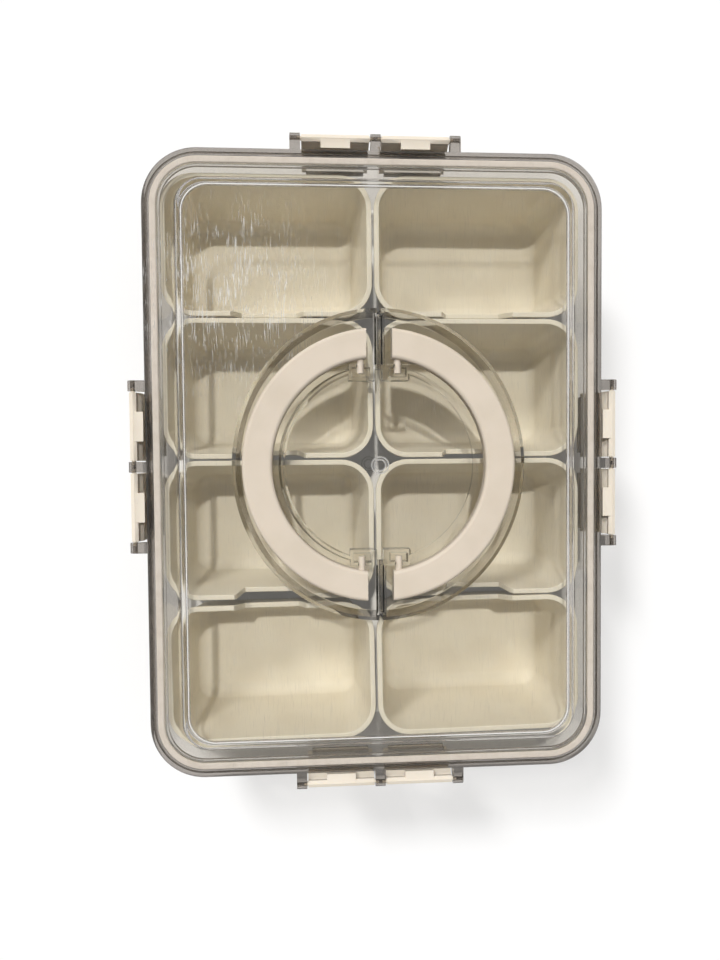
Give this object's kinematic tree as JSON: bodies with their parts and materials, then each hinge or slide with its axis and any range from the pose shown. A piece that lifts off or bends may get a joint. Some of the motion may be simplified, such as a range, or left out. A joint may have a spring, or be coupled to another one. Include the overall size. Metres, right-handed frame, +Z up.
{
  "type": "divided snack box",
  "caption": "Clear lidded snack box with lift-out cups, a fold-up split-ring handle in the lid and hooked side clips that hold the lid to the base.",
  "frame": {"origin": "middle of the box's underside, on the surface it stands on", "axes": "+Y along the long side towards the back row of cups, +X to the right, +Z up through the lid"},
  "size_m": [0.2532, 0.3372, 0.076],
  "materials": {
    "clear_plastic": "clear, polished, with fine scuffs",
    "cup_plastic": "satin moulded",
    "handle_plastic": "satin moulded",
    "clip_plastic": "satin moulded",
    "silicone": "soft, matte"
  },
  "bodies": {
    "base": {"base_box": "clear_plastic"},
    "lid": {"lid_shell": "clear_plastic", "lid_gasket": "silicone"},
    "handle_left": {"handle_left": "handle_plastic"},
    "handle_right": {"handle_right": "handle_plastic"},
    "clip_back_1": {"clip_back_1": "clip_plastic"},
    "clip_back_2": {"clip_back_2": "clip_plastic"},
    "clip_left_1": {"clip_left_1": "clip_plastic"},
    "clip_left_2": {"clip_left_2": "clip_plastic"},
    "clip_front_1": {"clip_front_1": "clip_plastic"},
    "clip_front_2": {"clip_front_2": "clip_plastic"},
    "clip_right_1": {"clip_right_1": "clip_plastic"},
    "clip_right_2": {"clip_right_2": "clip_plastic"},
    "cup_left_1": {"cup_left_1": "cup_plastic"},
    "cup_left_2": {"cup_left_2": "cup_plastic"},
    "cup_left_3": {"cup_left_3": "cup_plastic"},
    "cup_left_4": {"cup_left_4": "cup_plastic"},
    "cup_right_1": {"cup_right_1": "cup_plastic"},
    "cup_right_2": {"cup_right_2": "cup_plastic"},
    "cup_right_3": {"cup_right_3": "cup_plastic"},
    "cup_right_4": {"cup_right_4": "cup_plastic"}
  },
  "joints": [
    {"name": "lid_lift", "type": "slide", "parent": "base", "child": "lid", "axis": [0, 0, 1], "range_m": [0, 0.055]},
    {"name": "handle_left_fold", "type": "hinge", "parent": "lid", "child": "handle_left", "pos_m": [-0.0094, 0, 0.072], "axis": [0, 1, 0], "range_deg": [0, 90]},
    {"name": "handle_right_fold", "type": "hinge", "parent": "lid", "child": "handle_right", "pos_m": [0.0094, 0, 0.072], "axis": [0, -1, 0], "range_deg": [0, 90]},
    {"name": "clip_back_1_swing", "type": "hinge", "parent": "lid", "child": "clip_back_1", "pos_m": [-0.0205, 0.166, 0.0635], "axis": [1, 0, 0], "range_deg": [0, 135]},
    {"name": "clip_back_2_swing", "type": "hinge", "parent": "lid", "child": "clip_back_2", "pos_m": [0.0205, 0.166, 0.0635], "axis": [1, 0, 0], "range_deg": [0, 135]},
    {"name": "clip_left_1_swing", "type": "hinge", "parent": "lid", "child": "clip_left_1", "pos_m": [-0.124, -0.0205, 0.0635], "axis": [0, 1, 0], "range_deg": [0, 135]},
    {"name": "clip_left_2_swing", "type": "hinge", "parent": "lid", "child": "clip_left_2", "pos_m": [-0.124, 0.0205, 0.0635], "axis": [0, 1, 0], "range_deg": [0, 135]},
    {"name": "clip_front_1_swing", "type": "hinge", "parent": "lid", "child": "clip_front_1", "pos_m": [0.0205, -0.166, 0.0635], "axis": [-1, 0, 0], "range_deg": [0, 135]},
    {"name": "clip_front_2_swing", "type": "hinge", "parent": "lid", "child": "clip_front_2", "pos_m": [-0.0205, -0.166, 0.0635], "axis": [-1, 0, 0], "range_deg": [0, 135]},
    {"name": "clip_right_1_swing", "type": "hinge", "parent": "lid", "child": "clip_right_1", "pos_m": [0.124, 0.0205, 0.0635], "axis": [0, -1, 0], "range_deg": [0, 135]},
    {"name": "clip_right_2_swing", "type": "hinge", "parent": "lid", "child": "clip_right_2", "pos_m": [0.124, -0.0205, 0.0635], "axis": [0, -1, 0], "range_deg": [0, 135]},
    {"name": "cup_left_1_lift", "type": "slide", "parent": "base", "child": "cup_left_1", "axis": [0, 0, 1], "range_m": [0, 0.033]},
    {"name": "cup_left_2_lift", "type": "slide", "parent": "base", "child": "cup_left_2", "axis": [0, 0, 1], "range_m": [0, 0.033]},
    {"name": "cup_left_3_lift", "type": "slide", "parent": "base", "child": "cup_left_3", "axis": [0, 0, 1], "range_m": [0, 0.033]},
    {"name": "cup_left_4_lift", "type": "slide", "parent": "base", "child": "cup_left_4", "axis": [0, 0, 1], "range_m": [0, 0.033]},
    {"name": "cup_right_1_lift", "type": "slide", "parent": "base", "child": "cup_right_1", "axis": [0, 0, 1], "range_m": [0, 0.033]},
    {"name": "cup_right_2_lift", "type": "slide", "parent": "base", "child": "cup_right_2", "axis": [0, 0, 1], "range_m": [0, 0.033]},
    {"name": "cup_right_3_lift", "type": "slide", "parent": "base", "child": "cup_right_3", "axis": [0, 0, 1], "range_m": [0, 0.033]},
    {"name": "cup_right_4_lift", "type": "slide", "parent": "base", "child": "cup_right_4", "axis": [0, 0, 1], "range_m": [0, 0.033]}
  ],
  "couplings": [
    {"joint": "clip_back_1_swing", "follows": "lid_lift", "rad_per_m": 42.8},
    {"joint": "clip_back_2_swing", "follows": "lid_lift", "rad_per_m": 42.8},
    {"joint": "clip_left_1_swing", "follows": "lid_lift", "rad_per_m": 42.8},
    {"joint": "clip_left_2_swing", "follows": "lid_lift", "rad_per_m": 42.8},
    {"joint": "clip_front_1_swing", "follows": "lid_lift", "rad_per_m": 42.8},
    {"joint": "clip_front_2_swing", "follows": "lid_lift", "rad_per_m": 42.8},
    {"joint": "clip_right_1_swing", "follows": "lid_lift", "rad_per_m": 42.8},
    {"joint": "clip_right_2_swing", "follows": "lid_lift", "rad_per_m": 42.8},
    {"joint": "cup_left_1_lift", "follows": "lid_lift", "ratio": 0.6},
    {"joint": "cup_left_2_lift", "follows": "lid_lift", "ratio": 0.6},
    {"joint": "cup_left_3_lift", "follows": "lid_lift", "ratio": 0.6},
    {"joint": "cup_left_4_lift", "follows": "lid_lift", "ratio": 0.6},
    {"joint": "cup_right_1_lift", "follows": "lid_lift", "ratio": 0.6},
    {"joint": "cup_right_2_lift", "follows": "lid_lift", "ratio": 0.6},
    {"joint": "cup_right_3_lift", "follows": "lid_lift", "ratio": 0.6},
    {"joint": "cup_right_4_lift", "follows": "lid_lift", "ratio": 0.6}
  ]
}
